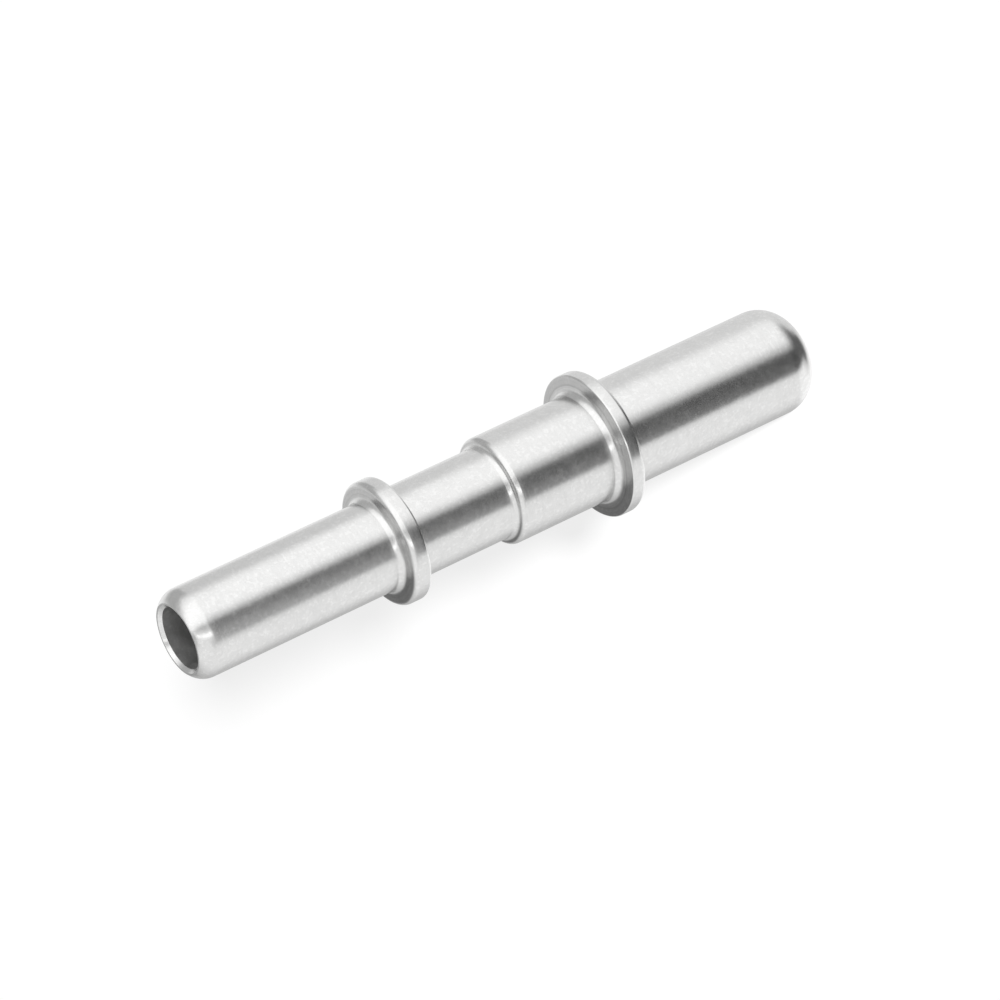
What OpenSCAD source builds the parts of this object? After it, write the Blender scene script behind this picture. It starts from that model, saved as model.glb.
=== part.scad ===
// Male to male adapter fitting, turned from one bar.
// Two plain spigots of different diameter, each with a collar behind it, face opposite ways.
// They meet in the middle at a small step, and one straight bore runs through from tip to tip.
// The axis is the Z axis. The fitting stands on its large tip at Z = 0, with the small tip at the top.

/* [Small spigot] */
// Outer diameter of the small spigot
small_spigot_d = 7.89; // [6.8:0.01:8.6]
// Length of the small spigot, from its tip to its collar
small_spigot_length = 19.6; // [10:0.1:40]
// Radius of the rounded lead-in at the small tip
small_nose_radius = 1.85; // [1.6:0.05:4]
// Length of the rounded lead-in at the small tip
small_nose_length = 1.5; // [0.3:0.05:1.5]

/* [Small collar] */
// Outer diameter of the small collar
small_collar_d = 11; // [10.5:0.1:16]
// Width of the small collar along the axis
small_collar_width = 1.6; // [1.2:0.05:5]
// Rounding on the collar's edge that faces the small tip
small_collar_outer_round = 0.5; // [0.1:0.05:0.8]
// Smaller rounding on the collar's other edge
small_collar_inner_round = 0.25; // [0.05:0.05:0.35]
// Fillet between the small spigot and its collar
small_collar_fillet = 0.6; // [0.1:0.05:0.75]

/* [Middle] */
// Diameter of the middle length beside the small collar
small_middle_d = 8.1; // [7.5:0.05:8.8]
// Length of that narrower middle length, from the collar to the outer edge of the step
small_middle_length = 10.2; // [4:0.1:30]
// Diameter of the middle length beside the large collar
large_middle_d = 9.6; // [9.3:0.05:10.8]
// Length of that wider middle length, from the outer edge of the step to the collar
large_middle_length = 9.7; // [4:0.1:30]
// Radius of the hollow arc at the foot of the step
step_fillet = 0.5; // [0.1:0.05:1]
// Radius of the round arc at the outer edge of the step
step_round = 0.5; // [0.1:0.05:0.8]

/* [Large collar] */
// Outer diameter of the large collar
large_collar_d = 12.9; // [12.3:0.1:18]
// Width of the large collar along the axis
large_collar_width = 1.4; // [0.8:0.05:5]
// Rounding on the collar's edge that faces the step
large_collar_inner_round = 0.15; // [0.05:0.05:0.4]
// Rounding on the collar's edge that faces the large tip
large_collar_outer_round = 0.45; // [0.05:0.05:0.6]
// Fillet between the wider middle length and the large collar
large_collar_inner_fillet = 0.65; // [0.1:0.05:0.8]
// Fillet between the large collar and the large spigot
large_collar_outer_fillet = 0.6; // [0.1:0.05:0.8]

/* [Large spigot] */
// Outer diameter of the large spigot
large_spigot_d = 9.49; // [8.6:0.01:10.4]
// Length of the large spigot, from its collar to its tip
large_spigot_length = 20; // [10:0.1:40]
// Radius of the rounded lead-in at the large tip
large_nose_radius = 3; // [2.8:0.05:4.2]
// Length of the rounded lead-in at the large tip
large_nose_length = 2.5; // [0.5:0.05:2.6]

/* [Bore] */
// Diameter of the bore
bore_d = 5.5; // [2:0.1:5.8]
// How far each mouth of the bore opens out, at the tip, on each side
mouth_flare = 0.25; // [0.05:0.05:0.4]
// Depth of the opened-out part of each mouth
mouth_depth = 0.3; // [0.1:0.05:1.5]

/* [Hidden] */
$fn = 120;
metal = "Silver";
// Which way a face or a corner looks: up to the small tip, or down to the large tip
up = 1;
down = -1;
// Stations along the axis, counted up from the large tip
large_collar_bottom = large_spigot_length;
large_collar_top = large_collar_bottom + large_collar_width;
step_at = large_collar_top + large_middle_length;
small_collar_bottom = step_at + small_middle_length;
small_collar_top = small_collar_bottom + small_collar_width;
total_length = small_collar_top + small_spigot_length;
// The step is two arcs that run into each other. On a step higher than both radii together there
// is a flat wall between them, and on a lower one they meet on a slope less steep than a wall.
step_wall = (large_middle_d - small_middle_d) / 2;
step_radii = step_fillet + step_round;
step_slope = acos(max(0, 1 - step_wall / step_radii));
step_top = step_at + step_radii * sin(step_slope);
// How far a cut runs on past the surface that it opens
past = 1;

// The half section is drawn with the radius along x and the station along y.

// A plain turned length, solid to the axis
module turned(from, to, d) {
    translate([0, from]) square([d / 2, to - from]);
}

// Flips what is drawn upwards from station 0, for a feature that runs downwards
module run(side) {
    mirror([0, side == up ? 0 : 1]) children();
}

// Metal in the inside corner between a diameter and a face that looks to the given side
module fillet(station, d, size, side) {
    translate([d / 2, station]) run(side) difference() {
        square(size);
        translate([size, size]) circle(size);
    }
}

// Metal taken off the outside corner of a face that looks to the given side, which leaves it round
module edge_cut(station, d, size, side) {
    translate([d / 2 - size, station]) run(-side) difference() {
        square([size + past, size]);
        translate([0, size]) circle(size);
    }
}

// Metal taken off a tip, which leaves a rounded lead-in that runs smoothly into the spigot
module nose_cut(station, d, radius, length, side) {
    translate([d / 2 - radius, station]) run(-side) difference() {
        square([radius + past, length]);
        translate([0, length]) circle(radius);
    }
}

// The bore's mouth in a tip, opened out into a shallow cone
module mouth_cut(station, side) {
    translate([0, station]) run(-side) polygon([
        [0, 0],
        [bore_d / 2 + mouth_flare, 0],
        [bore_d / 2, mouth_depth],
        [0, mouth_depth]
    ]);
}

// The step's metal above the wider middle length: the round arc, then the hollow arc up to its foot
module step() {
    round_centre = [large_middle_d / 2 - step_round, step_at];
    fillet_centre = [small_middle_d / 2 + step_fillet, step_top];
    flat_wall = [
        [round_centre[0], step_at + step_round],
        [fillet_centre[0], step_top - step_fillet]
    ];
    translate(round_centre) circle(step_round);
    difference() {
        polygon(concat(
            [[0, step_at], round_centre],
            step_slope < 90 ? [] : flat_wall,
            [fillet_centre, [0, step_top]]
        ));
        translate(fillet_centre) circle(step_fillet);
    }
}

// Every diameter of the fitting with its fillets, before the edges are rounded
module blank() {
    turned(0, large_collar_bottom, large_spigot_d);
    turned(large_collar_bottom, large_collar_top, large_collar_d);
    turned(large_collar_top, step_at, large_middle_d);
    turned(step_at, small_collar_bottom, small_middle_d);
    turned(small_collar_bottom, small_collar_top, small_collar_d);
    turned(small_collar_top, total_length, small_spigot_d);
    fillet(large_collar_bottom, large_spigot_d, large_collar_outer_fillet, down);
    fillet(large_collar_top, large_middle_d, large_collar_inner_fillet, up);
    step();
    fillet(small_collar_top, small_spigot_d, small_collar_fillet, up);
}

module half_section() {
    difference() {
        blank();
        nose_cut(0, large_spigot_d, large_nose_radius, large_nose_length, down);
        edge_cut(large_collar_bottom, large_collar_d, large_collar_outer_round, down);
        edge_cut(large_collar_top, large_collar_d, large_collar_inner_round, up);
        edge_cut(small_collar_bottom, small_collar_d, small_collar_inner_round, down);
        edge_cut(small_collar_top, small_collar_d, small_collar_outer_round, up);
        nose_cut(total_length, small_spigot_d, small_nose_radius, small_nose_length, up);
        turned(-past, total_length + past, bore_d);
        mouth_cut(0, down);
        mouth_cut(total_length, up);
    }
}

// The whole fitting, one solid of revolution
module fitting() {
    color(metal) rotate_extrude() half_section();
}

fitting();
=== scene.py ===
# %% [markdown]
# # A turned metal adapter fitting
# The object is one small fitting, 62.5 mm long, turned from a bar of bright metal that looks like
# stainless steel. It joins two hoses or tubes of different size: each end is a plain male spigot with
# a collar behind it, and a quick connector slides over the spigot until its latch snaps behind that
# collar. A straight bore runs through from tip to tip.
#
# The imported model is loaded first. It is the exact solid in metres, standing on its large tip with
# its axis along Z.

# %% Load the imported model
import bpy, math
from mathutils import Matrix, Vector


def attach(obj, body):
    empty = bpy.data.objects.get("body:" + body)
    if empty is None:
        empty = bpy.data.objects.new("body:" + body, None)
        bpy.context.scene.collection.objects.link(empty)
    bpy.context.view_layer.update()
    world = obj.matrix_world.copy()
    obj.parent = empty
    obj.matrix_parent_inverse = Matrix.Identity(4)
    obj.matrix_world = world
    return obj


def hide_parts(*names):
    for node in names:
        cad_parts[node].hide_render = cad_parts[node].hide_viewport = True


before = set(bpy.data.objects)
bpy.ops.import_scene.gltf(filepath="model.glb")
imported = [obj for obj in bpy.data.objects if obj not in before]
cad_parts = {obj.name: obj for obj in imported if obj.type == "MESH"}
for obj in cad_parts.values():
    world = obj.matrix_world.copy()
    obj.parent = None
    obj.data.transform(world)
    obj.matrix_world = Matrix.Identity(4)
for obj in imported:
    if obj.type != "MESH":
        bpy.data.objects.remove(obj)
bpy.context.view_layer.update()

# %% [markdown]
# ## The camera
# The photograph looks down at the small tip from the side. In the frame of the standing fitting
# that is a camera 26 degrees above the floor, turned about its own axis until the fitting leans from
# the lower left to the upper right. The lens is long and the camera is 0.39 m away. Those numbers
# come from a perspective camera fitted to the outline of the photographed fitting.
#
# A camera can be aimed with a constraint, or its three directions can be worked out and set as a
# matrix. The matrix is used here, because the roll is then exact.

# %% Camera
MM = 0.001
PICTURE = 1000                      # the photograph is square, this many pixels each way
SENSOR_MM = 36.0

camera_height = math.radians(26.23)  # how far the camera looks down on the standing fitting
camera_roll = math.radians(25.26)    # how far the axis leans from level in the picture
camera_distance = 392.6 * MM
pixels_per_mm = 11.992               # at the step, which is the fitting's middle landmark
step_height = 31.1 * MM
step_pixel = (494.5, 490.5)          # where the axis crosses the step, in the photograph

to_camera = Vector((0.0, -1.0, 0.0))  # level direction from the fitting to the camera
up = Vector((0.0, 0.0, 1.0))
look = -math.cos(camera_height) * to_camera - math.sin(camera_height) * up
axis_in_view = -math.cos(camera_height) * up + math.sin(camera_height) * to_camera
side = to_camera.cross(up)
picture_right = math.cos(camera_roll) * axis_in_view + math.sin(camera_roll) * side
picture_up = math.sin(camera_roll) * axis_in_view - math.cos(camera_roll) * side

step_point = up * step_height
across = (step_pixel[0] - PICTURE / 2) / pixels_per_mm * MM
down = (step_pixel[1] - PICTURE / 2) / pixels_per_mm * MM
eye = step_point - camera_distance * look - across * picture_right + down * picture_up

camera_data = bpy.data.cameras.new("photo_camera")
camera_data.sensor_width = SENSOR_MM
camera_data.lens = pixels_per_mm * camera_distance / MM / PICTURE * SENSOR_MM
camera_data.clip_start = 10 * MM      # nothing stands this close to the lens
camera = bpy.data.objects.new("photo_camera", camera_data)
turn = Matrix((picture_right, picture_up, -look)).transposed().to_4x4()
camera.matrix_world = Matrix.Translation(eye) @ turn
bpy.context.scene.collection.objects.link(camera)
bpy.context.scene.camera = camera
print("lens in mm:", round(camera_data.lens, 2), "camera at:", [round(c, 4) for c in eye])

# %% [markdown]
# ## The turned body
# A lathe turns one outline about the axis, so the whole fitting follows from half of its section:
# a closed line of 18 corners, most of them rounded by the tool. The line could be typed in as points,
# or a plain cylinder could be cut up. Geometry Nodes fit better, because they do what the lathe does:
# the sizes go in by name, the corners are worked out from them, one Fillet Curve node rounds each
# corner by its own radius, and the line is swept round a circle.
#
# Two of the corners belong to the step in the middle. It is low, and its two roundings are large, so
# they run into each other and leave no flat wall: the corners of the slope between them are worked
# out from the two radii. The faces of the collars that look to the small tip lean back a little,
# which shows in how they mirror the room, so their roots stand above their rims.
#
# The sizes are in millimetres, as on a drawing, and the tree scales the result to metres.

# %% Sizes of the fitting, in millimetres, and its faces' lean in degrees
sizes = {
    "Small spigot diameter": 7.89, "Small spigot length": 19.6,
    "Small nose radius": 1.85, "Small nose length": 1.5,
    "Small collar diameter": 11.0, "Small collar width": 1.6,
    "Small collar outer round": 0.5, "Small collar inner round": 0.25,
    "Small collar fillet": 0.6,
    "Small middle diameter": 8.1, "Small middle length": 10.2,
    "Large middle diameter": 9.6, "Large middle length": 9.7,
    "Step fillet": 0.5, "Step round": 0.5,
    "Large collar diameter": 12.9, "Large collar width": 1.4,
    "Large collar inner round": 0.15, "Large collar outer round": 0.45,
    "Large collar inner fillet": 0.65, "Large collar outer fillet": 0.6,
    "Large spigot diameter": 9.49, "Large spigot length": 20.0,
    "Large nose radius": 3.0, "Large nose length": 2.5,
    "Bore diameter": 5.5, "Mouth flare": 0.25, "Mouth depth": 0.3,
    "Face lean": 7.0, "Longest step": 0.4,
}
counts = {"Segments": 180, "Arc points": 12}
print(len(sizes), "sizes and", len(counts), "counts")

# %% [markdown]
# Two small helpers keep the tree readable. `place` adds a node and fills its sockets, with a number
# or with the output of another node. `calc` does the same for one step of arithmetic.

# %% Helpers for building a tree
def place(tree, kind, inputs=None, **settings):
    """Adds a node, sets its properties, then fills its inputs by name or number."""
    node = tree.nodes.new(kind)
    for name, value in settings.items():
        setattr(node, name, value)
    for key, value in (inputs or {}).items():
        socket = node.inputs[key]
        if isinstance(value, bpy.types.NodeSocket):
            tree.links.new(value, socket)
        else:
            socket.default_value = value
    return node


def calc(tree, operation, *values):
    """One step of arithmetic on numbers or sockets, which returns the output socket."""
    return place(tree, "ShaderNodeMath", dict(enumerate(values)), operation=operation).outputs[0]


# %% The lathe tree: its inputs
lathe = bpy.data.node_groups.new("lathe", "GeometryNodeTree")
lathe.interface.new_socket("Geometry", in_out="OUTPUT", socket_type="NodeSocketGeometry")
socket_of = {}
for name, value in sizes.items():
    socket = lathe.interface.new_socket(name, in_out="INPUT", socket_type="NodeSocketFloat")
    socket.default_value = value
    socket_of[name] = socket.identifier
for name, value in counts.items():
    socket = lathe.interface.new_socket(name, in_out="INPUT", socket_type="NodeSocketInt")
    socket.default_value = value
    socket_of[name] = socket.identifier
for name in ["Outside finish", "Bore finish"]:
    socket = lathe.interface.new_socket(name, in_out="INPUT", socket_type="NodeSocketMaterial")
    socket_of[name] = socket.identifier
given = lathe.nodes.new("NodeGroupInput").outputs

# %% The lathe tree: stations and radii
def add(a, b):
    return calc(lathe, "ADD", a, b)


def less(a, b):
    return calc(lathe, "SUBTRACT", a, b)


def half(name):
    return calc(lathe, "MULTIPLY", given[name], 0.5)


# heights up the axis, counted from the large tip
collar_foot = given["Large spigot length"]
collar_top = add(collar_foot, given["Large collar width"])
step = add(collar_top, given["Large middle length"])
small_foot = add(step, given["Small middle length"])
small_top = add(small_foot, given["Small collar width"])
tip = add(small_top, given["Small spigot length"])


def nose(end):
    """A nose is an arc that leaves the spigot smoothly. It returns how far the arc's own corner
    lies from the tip, and the radius at which the arc meets the tip."""
    radius, length = given[end + " nose radius"], given[end + " nose length"]
    angle = calc(lathe, "ARCSINE", calc(lathe, "DIVIDE", length, radius))
    reach = calc(lathe, "MULTIPLY", radius, calc(lathe, "TANGENT", calc(lathe, "MULTIPLY", angle, 0.5)))
    fall = less(radius, calc(lathe, "MULTIPLY", radius, calc(lathe, "COSINE", angle)))
    return less(length, reach), less(half(end + " spigot diameter"), fall)


def leaning(face, root, rim):
    """A collar's face leans back a little. It returns the height at which the face meets the root."""
    slope = calc(lathe, "TANGENT", calc(lathe, "RADIANS", given["Face lean"]))
    face_width = less(half(rim + " diameter"), half(root + " diameter"))
    return add(face, calc(lathe, "MULTIPLY", slope, face_width))


def slope_corners():
    """The step is two arcs that run into each other. Where both radii together are more than its
    wall, they meet on a slope, and the two corners of that slope lie apart along the axis."""
    wall = less(half("Large middle diameter"), half("Small middle diameter"))
    radii = add(given["Step fillet"], given["Step round"])
    cosine = calc(lathe, "MAXIMUM", 0.0, less(1.0, calc(lathe, "DIVIDE", wall, radii)))
    slope = calc(lathe, "ARCCOSINE", cosine)
    reach = calc(lathe, "TANGENT", calc(lathe, "MULTIPLY", slope, 0.5))
    outer = add(step, calc(lathe, "MULTIPLY", given["Step round"], reach))
    return add(outer, calc(lathe, "DIVIDE", wall, calc(lathe, "TANGENT", slope))), outer


small_corner, small_ring = nose("Small")
large_corner, large_ring = nose("Large")
step_foot, step_edge = slope_corners()
bore = half("Bore diameter")
mouth = add(bore, given["Mouth flare"])
depth = given["Mouth depth"]

# %% The lathe tree: the section and its sweep
# each corner is its radius from the axis, its height and its rounding, from the small tip down
corners = [
    (mouth, tip, 0.0),
    (small_ring, tip, 0.0),
    (half("Small spigot diameter"), less(tip, small_corner), given["Small nose radius"]),
    (half("Small spigot diameter"), leaning(small_top, "Small spigot", "Small collar"),
     given["Small collar fillet"]),
    (half("Small collar diameter"), small_top, given["Small collar outer round"]),
    (half("Small collar diameter"), small_foot, given["Small collar inner round"]),
    (half("Small middle diameter"), small_foot, 0.0),
    (half("Small middle diameter"), step_foot, given["Step fillet"]),
    (half("Large middle diameter"), step_edge, given["Step round"]),
    (half("Large middle diameter"), leaning(collar_top, "Large middle", "Large collar"),
     given["Large collar inner fillet"]),
    (half("Large collar diameter"), collar_top, given["Large collar inner round"]),
    (half("Large collar diameter"), collar_foot, given["Large collar outer round"]),
    (half("Large spigot diameter"), collar_foot, given["Large collar outer fillet"]),
    (half("Large spigot diameter"), large_corner, given["Large nose radius"]),
    (large_ring, 0.0, 0.0),
    (mouth, 0.0, 0.0),
    (bore, depth, 0.0),
    (bore, less(tip, depth), 0.0),
]

corner_number = place(lathe, "GeometryNodeInputIndex").outputs[0]
where = place(lathe, "GeometryNodeIndexSwitch", {"Index": corner_number}, data_type="VECTOR")
rounding = place(lathe, "GeometryNodeIndexSwitch", {"Index": corner_number}, data_type="FLOAT")
for item in range(2, len(corners)):
    where.index_switch_items.new()
    rounding.index_switch_items.new()
for item, (radius, height, round_by) in enumerate(corners):
    point = place(lathe, "ShaderNodeCombineXYZ", {"X": radius, "Y": height}).outputs[0]
    lathe.links.new(point, where.inputs[item + 1])
    if isinstance(round_by, float):
        rounding.inputs[item + 1].default_value = round_by
    else:
        lathe.links.new(round_by, rounding.inputs[item + 1])

line = place(lathe, "GeometryNodeMeshLine", {"Count": len(corners)})
line = place(lathe, "GeometryNodeMeshToCurve", {"Mesh": line.outputs[0]})
line = place(lathe, "GeometryNodeSetSplineCyclic", {"Geometry": line.outputs[0], "Cyclic": True})
line = place(lathe, "GeometryNodeSetPosition",
             {"Geometry": line.outputs[0], "Position": where.outputs[0]})
line = place(lathe, "GeometryNodeFilletCurve",
             {"Curve": line.outputs[0], "Count": given["Arc points"], "Radius": rounding.outputs[0],
              "Limit Radius": True}, mode="POLY")
section = line.outputs[0]
print(len(corners), "corners in the section")

# %% [markdown]
# A long straight stretch beside a small rounding shades badly, because the normals at their joint
# are shared and the error runs the whole length of the stretch. So each stretch is cut into short
# steps first. The section is then swept round a circle, rings that fall on each other are merged,
# and edges sharper than 18 degrees stay sharp.

# %% The lathe tree: sweep, close and scale
here = place(lathe, "GeometryNodeInputPosition").outputs[0]
this_point = place(lathe, "GeometryNodeInputIndex").outputs[0]
next_point = place(lathe, "GeometryNodeOffsetPointInCurve", {"Point Index": this_point, "Offset": 1})
there = place(lathe, "GeometryNodeFieldAtIndex",
              {"Index": next_point.outputs["Point Index"], "Value": here}, data_type="FLOAT_VECTOR")
stretch = place(lathe, "ShaderNodeVectorMath", {0: here, 1: there.outputs[0]}, operation="DISTANCE")
cuts = calc(lathe, "FLOOR", calc(lathe, "DIVIDE", stretch.outputs["Value"], given["Longest step"]))
section = place(lathe, "GeometryNodeSubdivideCurve", {"Curve": section, "Cuts": cuts}).outputs[0]

# the sweep measures the section from the circle that it follows, with its heights turned over
path_radius = 4.0
section = place(lathe, "GeometryNodeTransform",
                {"Geometry": section, "Translation": (-path_radius, 0.0, 0.0)}).outputs[0]
section = place(lathe, "GeometryNodeTransform",
                {"Geometry": section, "Scale": (1.0, -1.0, 1.0)}).outputs[0]
path = place(lathe, "GeometryNodeCurvePrimitiveCircle",
             {"Resolution": given["Segments"], "Radius": path_radius}, mode="RADIUS")
body = place(lathe, "GeometryNodeCurveToMesh",
             {"Curve": path.outputs[0], "Profile Curve": section}).outputs[0]
merge_within = 0.001
body = place(lathe, "GeometryNodeMergeByDistance",
             {"Geometry": body, "Distance": merge_within}).outputs[0]

sharp_angle = math.radians(18)
bend = place(lathe, "GeometryNodeInputMeshEdgeAngle").outputs["Unsigned Angle"]
smooth = place(lathe, "FunctionNodeCompare", {"A": bend, "B": sharp_angle}, operation="LESS_THAN")
body = place(lathe, "GeometryNodeSetShadeSmooth", {"Geometry": body}, domain="FACE").outputs[0]
body = place(lathe, "GeometryNodeSetShadeSmooth",
             {"Geometry": body, "Shade Smooth": smooth.outputs[0]}, domain="EDGE").outputs[0]

# from here on the tree works in metres
body = place(lathe, "GeometryNodeTransform", {"Geometry": body, "Scale": (MM, MM, MM)}).outputs[0]
body = place(lathe, "GeometryNodeRealizeInstances", {"Geometry": body}).outputs[0]

# the bore's faces are those no further from the axis than the drill reached, give or take a margin
margin = 0.02
drill_reach = calc(lathe, "MULTIPLY", add(bore, margin), MM)
spot = place(lathe, "ShaderNodeSeparateXYZ", {0: here}).outputs
level_spot = place(lathe, "ShaderNodeCombineXYZ", {"X": spot["X"], "Y": spot["Y"]}).outputs[0]
from_axis = place(lathe, "ShaderNodeVectorMath", {0: level_spot}, operation="LENGTH").outputs["Value"]
drilled = place(lathe, "FunctionNodeCompare", {"A": from_axis, "B": drill_reach},
                operation="LESS_THAN").outputs[0]
body = place(lathe, "GeometryNodeSetMaterial",
             {"Geometry": body, "Material": given["Outside finish"]}).outputs[0]
body = place(lathe, "GeometryNodeSetMaterial",
             {"Geometry": body, "Selection": drilled, "Material": given["Bore finish"]}).outputs[0]
lathe_out = lathe.nodes.new("NodeGroupOutput")
lathe.links.new(body, lathe_out.inputs[0])
print("lathe tree:", len(lathe.nodes), "nodes")

# %% [markdown]
# ## The finish
# The real fitting looks like stainless steel that was finely turned and then tumbled: there are lines
# round it, too fine to count, and a faint cloudy mottle over them. A plain metal shader would look
# like a mirror made of plastic. Painted textures would need a flat map of the part. Here the marks
# are worked out from the place on the object, so they follow every face by themselves.
#
# A lathe line goes round the axis, on the cylinders and on the faces alike. So the lines are a
# one-dimensional noise along a coordinate that grows both up the axis and out from it. The mottle is
# a noise in space, once coarse for clouds and once fine for small bright specks. Both kinds of mark
# are shader node groups, because the outside and the bore use them with different values.

# %% Turning marks
marks = bpy.data.node_groups.new("turning_marks", "ShaderNodeTree")
for name in ["Place", "Spacing", "Wobble"]:
    kind = "NodeSocketVector" if name == "Place" else "NodeSocketFloat"
    marks.interface.new_socket(name, in_out="INPUT", socket_type=kind)
marks.interface.new_socket("Lines", in_out="OUTPUT", socket_type="NodeSocketFloat")
set_to = marks.nodes.new("NodeGroupInput").outputs
axes = place(marks, "ShaderNodeSeparateXYZ", {0: set_to["Place"]}).outputs
squares = calc(marks, "ADD", calc(marks, "POWER", axes["X"], 2.0), calc(marks, "POWER", axes["Y"], 2.0))
face_crowding = 1.37                 # how much closer the lines lie on a face than on a cylinder
outwards = calc(marks, "MULTIPLY", calc(marks, "SQRT", squares), face_crowding)
drift_fineness = 0.35                # the lines wander over patches of about three millimetres
drift = place(marks, "ShaderNodeTexNoise",
              {"Vector": set_to["Place"], "Scale": drift_fineness}).outputs[0]
drift = calc(marks, "MULTIPLY", drift, set_to["Wobble"])
along = calc(marks, "ADD", calc(marks, "ADD", axes["Z"], outwards), drift)
lines = place(marks, "ShaderNodeTexNoise",
              {"W": calc(marks, "DIVIDE", along, set_to["Spacing"]), "Scale": 1.0, "Detail": 3.0,
               "Roughness": 0.65}, noise_dimensions="1D").outputs[0]
marks_out = marks.nodes.new("NodeGroupOutput")
marks.links.new(lines, marks_out.inputs[0])

# %% Mottle
mottle = bpy.data.node_groups.new("mottle", "ShaderNodeTree")
mottle.interface.new_socket("Place", in_out="INPUT", socket_type="NodeSocketVector")
mottle.interface.new_socket("Cloud size", in_out="INPUT", socket_type="NodeSocketFloat")
mottle.interface.new_socket("Speck size", in_out="INPUT", socket_type="NodeSocketFloat")
mottle.interface.new_socket("Clouds", in_out="OUTPUT", socket_type="NodeSocketFloat")
mottle.interface.new_socket("Specks", in_out="OUTPUT", socket_type="NodeSocketFloat")
set_to = mottle.nodes.new("NodeGroupInput").outputs


def cloudy(size, detail):
    """Noise whose largest patches measure about the given size."""
    fineness = calc(mottle, "DIVIDE", 1.0, size)
    return place(mottle, "ShaderNodeTexNoise", {"Vector": set_to["Place"], "Scale": fineness,
                                                "Detail": detail, "Roughness": 0.65}).outputs[0]


def ramp(tree, value, start, end):
    """Climbs softly from 0 to 1 as the value goes from start to end."""
    return place(tree, "ShaderNodeMapRange", {"Value": value, "From Min": start, "From Max": end},
                 interpolation_type="SMOOTHSTEP").outputs[0]


# only the peaks of the fine noise count as specks
peak_start, peak_end = 0.52, 0.68
clouds = cloudy(set_to["Cloud size"], detail=3.0)
specks = ramp(mottle, cloudy(set_to["Speck size"], detail=1.0), peak_start, peak_end)
mottle_out = mottle.nodes.new("NodeGroupOutput")
mottle.links.new(clouds, mottle_out.inputs["Clouds"])
mottle.links.new(specks, mottle_out.inputs["Specks"])
print("turning marks:", len(marks.nodes), "nodes; mottle:", len(mottle.nodes), "nodes")

# %% [markdown]
# The outside and the bore share one recipe. The outside is bright and fairly smooth. The drill left
# the bore rough, so it scatters more, and its colour is painted darker than the outside's, as painted
# shade where little light gets in. The faces of the collars were cut by the side of the tool, which
# left them streaked. Their colour is also painted darker, as painted shade and painted reflection of
# the dark parts near them. They could get a finish of their own, but a mask from the direction of the
# surface blends that painted shade in over the roundings, as on the real part. The mask leaves out the
# rings at the two tips, which are as bright as the rest.

# %% The mask of the collars' faces, where their painted shade goes
face_start, face_end = 0.75, 0.98    # how far up or down a surface looks before it counts as a face
ring_end, face_begin = 3.4, 3.9      # mm from the axis: the rings at the tips end, the faces begin


def collar_face(tree, normal, spot):
    """1 on the collars' faces, which get painted shade; 0 on the cylinders and on the rings at the tips.
    """
    upright = place(tree, "ShaderNodeSeparateXYZ", {0: normal}).outputs["Z"]
    looks_along = ramp(tree, calc(tree, "ABSOLUTE", upright), face_start, face_end)
    level_spot = place(tree, "ShaderNodeVectorMath", {0: spot, 1: (1.0, 1.0, 0.0)},
                       operation="MULTIPLY").outputs[0]
    from_axis = place(tree, "ShaderNodeVectorMath", {0: level_spot}, operation="LENGTH").outputs["Value"]
    return calc(tree, "MULTIPLY", looks_along, ramp(tree, from_axis, ring_end, face_begin))


# %% One recipe for both finishes
wobble = 0.3                         # how far the turning lines wander, in mm
speck_size = 0.32                    # in mm
speck_shine = 0.05                   # how much brighter a speck is
speck_roughness = 0.01               # how much rougher a speck is
line_share = 0.25                    # the lines' share of the shade, beside the clouds
streak_depth = 0.16                  # how far a face's streaks go darker and brighter than its shade
blue_share = 0.993                   # steel is faintly warm


def spread(tree, value, low, high):
    """Maps the middle half of a noise to a range."""
    return place(tree, "ShaderNodeMapRange", {"Value": value, "From Min": 0.25, "From Max": 0.75,
                                              "To Min": low, "To Max": high}).outputs[0]


def mix(tree, first, first_share, second, second_share):
    """Adds two values, each times its share."""
    return calc(tree, "ADD", calc(tree, "MULTIPLY", first, first_share),
                calc(tree, "MULTIPLY", second, second_share))


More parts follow.
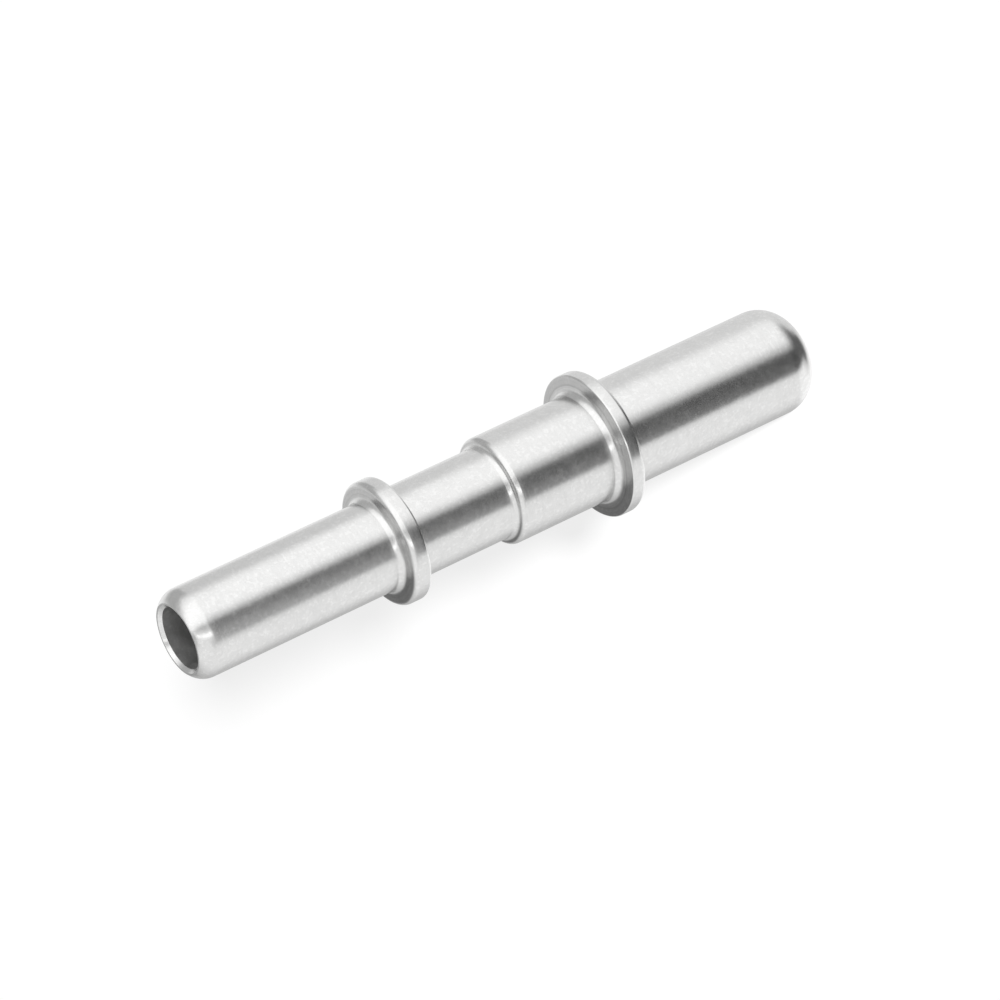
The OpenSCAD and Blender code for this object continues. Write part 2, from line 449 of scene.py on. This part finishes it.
def metal(name, shade, roughness, spacing, cloud_size, line_depth, cloud_depth, face_painted_shade):
    """Steel with turning marks and mottle, and painted shade on the collars' faces. Shade and roughness
    are each a low and a high value.
    """
    made = bpy.data.materials.new(name)
    made.use_nodes = True
    tree = made.node_tree
    shader = tree.nodes["Principled BSDF"]
    shader.inputs["Metallic"].default_value = 1.0
    coordinates = place(tree, "ShaderNodeTexCoord").outputs
    spot = place(tree, "ShaderNodeVectorMath", {0: coordinates["Object"], "Scale": 1 / MM},
                 operation="SCALE").outputs[0]
    lines = place(tree, "ShaderNodeGroup", {"Place": spot, "Spacing": spacing, "Wobble": wobble},
                  node_tree=marks).outputs["Lines"]
    cover = place(tree, "ShaderNodeGroup",
                  {"Place": spot, "Cloud size": cloud_size, "Speck size": speck_size},
                  node_tree=mottle).outputs
    clouds, specks = cover["Clouds"], cover["Specks"]

    # the shade: lines and clouds, brighter at the specks, streaked on the collars' faces and darkened
    # there by painted shade and painted reflection of the dark parts near them
    both = mix(tree, lines, line_share, clouds, 1 - line_share)
    level = calc(tree, "ADD", spread(tree, both, *shade), calc(tree, "MULTIPLY", specks, speck_shine))
    # the faces' streaks are tool marks, swung round a level that is darkened as painted shade
    streaks_in_painted_shade = spread(tree, lines, face_painted_shade * (1 - streak_depth), face_painted_shade * (1 + streak_depth))
    on_face = collar_face(tree, coordinates["Normal"], spot)
    painted_shade_factor = place(tree, "ShaderNodeMix", {"Factor": on_face, "A": 1.0, "B": streaks_in_painted_shade}).outputs[0]
    level = calc(tree, "MULTIPLY", level, painted_shade_factor)
    blue = calc(tree, "MULTIPLY", level, blue_share)
    colour = place(tree, "ShaderNodeCombineColor", {"Red": level, "Green": level, "Blue": blue})
    tree.links.new(colour.outputs[0], shader.inputs["Base Color"])

    # the roughness and the relief come from the same marks
    extra = calc(tree, "MULTIPLY", specks, speck_roughness)
    tree.links.new(calc(tree, "ADD", spread(tree, clouds, *roughness), extra),
                   shader.inputs["Roughness"])
    height = mix(tree, lines, line_depth, clouds, cloud_depth)
    bump = place(tree, "ShaderNodeBump", {"Height": height, "Distance": MM})
    tree.links.new(bump.outputs[0], shader.inputs["Normal"])
    print(name, "has", len(tree.nodes), "nodes")
    return made


# the face value below one paints shade and reflection onto the outside's collar faces
turned = metal("turned_steel", shade=(0.69, 0.78), roughness=(0.215, 0.25), spacing=0.4,
               cloud_size=0.9, line_depth=0.0009, cloud_depth=0.0008, face_painted_shade=0.62)
# the bore's rougher drilled finish is real; its darker shade range is painted shade inside the bore
drilled_steel_painted_shade = metal("drilled_steel_painted_shade", shade=(0.42, 0.61), roughness=(0.46, 0.58), spacing=0.3,
                      cloud_size=1.2, line_depth=0.006, cloud_depth=0.008, face_painted_shade=1.0)

# %% [markdown]
# ## Turn the fitting
# The tree runs as a modifier on an empty mesh. Its result is copied to a plain mesh, which stands for
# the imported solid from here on.

# %% Run the lathe
blank = bpy.data.objects.new("blank", bpy.data.meshes.new("blank"))
bpy.context.scene.collection.objects.link(blank)
turning = blank.modifiers.new("lathe", "NODES")
turning.node_group = lathe
finishes = {"Outside finish": turned, "Bore finish": drilled_steel_painted_shade}
for name, value in {**sizes, **counts, **finishes}.items():
    turning[socket_of[name]] = value
evaluated = blank.evaluated_get(bpy.context.evaluated_depsgraph_get())
fitting_mesh = bpy.data.meshes.new_from_object(evaluated)
fitting_mesh.name = "turned_fitting"
bpy.data.objects.remove(blank)

fitting = bpy.data.objects.new("turned_fitting", fitting_mesh)
bpy.context.scene.collection.objects.link(fitting)
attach(fitting, "root")
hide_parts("fitting")
print("turned fitting:", len(fitting_mesh.polygons), "faces")

# %% [markdown]
# ## Floor and light
# Polished metal has no look of its own: it shows what stands round it. The photograph's bands look
# like a softbox, a white reflector and the dark side of the room, mirrored in the turned body. So
# the studio is drawn as a ring of soft-edged cards in the world, each at its own bearing from the
# camera's side and its own height above or below the horizon.
#
# Lamps with a size could stand there instead, but a card is simpler to place, casts no hard light
# and leaves the background white. Each card is laid over the ones before it.

# %% One card of the studio
card = bpy.data.node_groups.new("card", "ShaderNodeTree")
for name in ["Behind", "Bearing", "Height", "At bearing", "Half width", "Soft sides",
             "At height", "Half height", "Soft ends", "Level"]:
    card.interface.new_socket(name, in_out="INPUT", socket_type="NodeSocketFloat")
card.interface.new_socket("Light", in_out="OUTPUT", socket_type="NodeSocketFloat")
asked = card.nodes.new("NodeGroupInput").outputs


def within(distance, half_size, soft):
    """1 inside the card, 0 outside it, with a soft edge in between."""
    inner = calc(card, "SUBTRACT", half_size, soft)
    outer = calc(card, "ADD", half_size, soft)
    return place(card, "ShaderNodeMapRange",
                 {"Value": distance, "From Min": inner, "From Max": outer, "To Min": 1.0, "To Max": 0.0},
                 interpolation_type="SMOOTHSTEP").outputs[0]


sideways = calc(card, "SUBTRACT", asked["Bearing"], asked["At bearing"])
sideways = calc(card, "ABSOLUTE", calc(card, "WRAP", sideways, 180.0, -180.0))
upwards = calc(card, "ABSOLUTE", calc(card, "SUBTRACT", asked["Height"], asked["At height"]))
cover = calc(card, "MULTIPLY", within(sideways, asked["Half width"], asked["Soft sides"]),
             within(upwards, asked["Half height"], asked["Soft ends"]))
light = place(card, "ShaderNodeMix", {"Factor": cover, "A": asked["Behind"], "B": asked["Level"]})
card_out = card.nodes.new("NodeGroupOutput")
card.links.new(light.outputs[0], card_out.inputs[0])

# %% The studio
world = bpy.data.worlds.new("studio")
bpy.context.scene.world = world
world.use_nodes = True
studio = world.node_tree
direction = place(studio, "ShaderNodeTexCoord").outputs["Generated"]
part = place(studio, "ShaderNodeSeparateXYZ", {0: direction}).outputs
frontwards = calc(studio, "MULTIPLY", part["Y"], -1.0)
bearing = calc(studio, "DEGREES", calc(studio, "ARCTAN2", part["X"], frontwards))
height = calc(studio, "DEGREES", calc(studio, "ARCSINE", part["Z"]))

# bearing, half width and soft sides; height, half height and soft ends; level. The angles are in
# degrees, the bearing from the camera's side round to the fitting's right.
cards = {
    "ceiling": (0, 200, 5, 90, 24, 14, 0.5),
    "white reflector": (-88, 60, 22, 0, 66, 10, 1.0),
    "bright sheet": (-115, 65, 12, -50, 14, 6, 1.17),
    "under shadow": (-168, 40, 28, 8, 42, 6, 0.55),
    "grey wall": (114, 26, 8, 16, 36, 10, 0.48),
    "far reflector": (162, 16, 8, -10, 20, 8, 1.0),
    "far panel": (165, 17, 3, 32, 24, 10, 1.0),
    "far shadow": (-167, 15, 4, 26, 20, 10, 0.24),
    "camera side": (-4, 28, 6, 32, 44, 10, 0.72),
    "camera": (3, 7, 5, 18, 48, 10, 0.4),
    "room edge": (7, 12, 6, -54, 36, 9, 0.36),
    "dark room": (-22, 25, 3, -54, 36, 9, 0.05),
    "reflector corner": (-40, 14, 10, -10, 13, 6, 0.7),
    "strip light": (-21, 3.5, 2, 28, 42, 5, 2.2),
    "softbox": (50, 36, 17, 20, 62, 16, 1.2),
    "softbox core": (38, 30, 8, 34, 50, 5, 1.36),
    "dark corner": (20, 60, 25, -70, 20, 16, 0.12),
    "dark floor": (0, 200, 5, -90, 16, 6, 0.12),
}
room_level = 0.85                    # where no card stands
so_far = room_level
for name, (*shape, level) in cards.items():
    shown = place(studio, "ShaderNodeGroup", node_tree=card)
    shown.label = name
    for socket, value in zip(shown.inputs, [so_far, bearing, height, *shape, level]):
        if isinstance(value, bpy.types.NodeSocket):
            studio.links.new(value, socket)
        else:
            socket.default_value = value
    so_far = shown.outputs[0]
print(len(cards), "cards in the studio")

# %% Who sees the studio
# the metal's rays see the cards, the camera sees white, and the floor gets a soft even light
even_light = 0.4
white_level = 1.0


def grey(level):
    """An even grey, in the form that a colour socket takes."""
    return (level, level, level, 1.0)


rays = place(studio, "ShaderNodeLightPath").outputs
by_eye = calc(studio, "MAXIMUM", rays["Is Camera Ray"], rays["Is Transmission Ray"])
strength = place(studio, "ShaderNodeMix",
                 {"Factor": by_eye, "A": even_light, "B": white_level}).outputs[0]
strength = place(studio, "ShaderNodeMix",
                 {"Factor": rays["Is Glossy Ray"], "A": strength, "B": so_far}).outputs[0]
background = studio.nodes["Background"]
background.inputs["Color"].default_value = grey(1.0)
studio.links.new(strength, background.inputs["Strength"])
# only rays that hit the world bring its light, because a direct sample doesn't know its ray's kind
world.cycles.sampling_method = "NONE"

# %% [markdown]
# The real fitting lies on a white sheet that the camera sees as pure white, apart from a faint shadow.
# A plain white surface would come out grey here and there, and every turned length would mirror it
# from below, all round, and go flat white. So the sheet does three jobs by the kind of ray. The
# camera sees a sheet that glows a little and takes the shadow, the metal's own rays pass through it
# to the cards, and any other ray finds plain white paper.

# %% Floor
floor_side = 6.0                     # in metres, far past the edges of the picture
shadow_depth = 0.3                   # the seen sheet's share of the lamp, which its shadow lacks
glow_level = 0.72                    # what lifts the seen sheet to white
paper_white = 0.9                    # what every other ray finds

bpy.ops.mesh.primitive_plane_add(size=floor_side, location=(0, 0, 0))
floor = bpy.context.object
floor.name = "floor"
paper = bpy.data.materials.new("white_paper")
paper.use_nodes = True
sheet = paper.node_tree
sheet.nodes.clear()
rays = place(sheet, "ShaderNodeLightPath").outputs
lit = place(sheet, "ShaderNodeBsdfDiffuse", {"Color": grey(shadow_depth)}).outputs[0]
glow = place(sheet, "ShaderNodeEmission", {"Strength": glow_level}).outputs[0]
seen = place(sheet, "ShaderNodeAddShader", {0: lit, 1: glow}).outputs[0]
plain = place(sheet, "ShaderNodeBsdfDiffuse", {"Color": grey(paper_white)}).outputs[0]
clear = place(sheet, "ShaderNodeBsdfTransparent").outputs[0]
by_eye = calc(sheet, "MAXIMUM", rays["Is Camera Ray"], rays["Is Transmission Ray"])
shown = place(sheet, "ShaderNodeMixShader", {0: by_eye, 1: plain, 2: seen}).outputs[0]
shown = place(sheet, "ShaderNodeMixShader", {0: rays["Is Glossy Ray"], 1: shown, 2: clear}).outputs[0]
sheet.links.new(shown, place(sheet, "ShaderNodeOutputMaterial").inputs[0])
floor.data.materials.append(paper)
print("floor:", floor_side, "m each way")

# %% [markdown]
# One far lamp casts that shadow. It stands at the camera's side, a little round to the fitting's
# right and a little lower than the line of sight, so the shadow falls behind the fitting and shows
# as a thin soft strip along its edge. The metal doesn't mirror this lamp.

# %% Shadow lamp
lamp_strength = 5.0
lamp_breadth = math.radians(3)       # the broader it looks, the softer the shadow's edge
lamp_bearing = math.radians(2)
lamp_height = math.radians(22)

lamp_data = bpy.data.lights.new("shadow_lamp", "SUN")
lamp_data.energy = lamp_strength
lamp_data.angle = lamp_breadth
lamp = bpy.data.objects.new("shadow_lamp", lamp_data)
from_lamp = Vector((-math.sin(lamp_bearing) * math.cos(lamp_height),
                    math.cos(lamp_bearing) * math.cos(lamp_height), -math.sin(lamp_height)))
lamp.rotation_euler = from_lamp.to_track_quat("-Z", "Y").to_euler()
lamp.visible_glossy = False
bpy.context.scene.collection.objects.link(lamp)
print("the lamp shines along", [round(c, 3) for c in from_lamp])

# %% [markdown]
# The view transform is Standard, so the tones come out as they are written.

# %% Look
bpy.context.scene.view_settings.view_transform = "Standard"
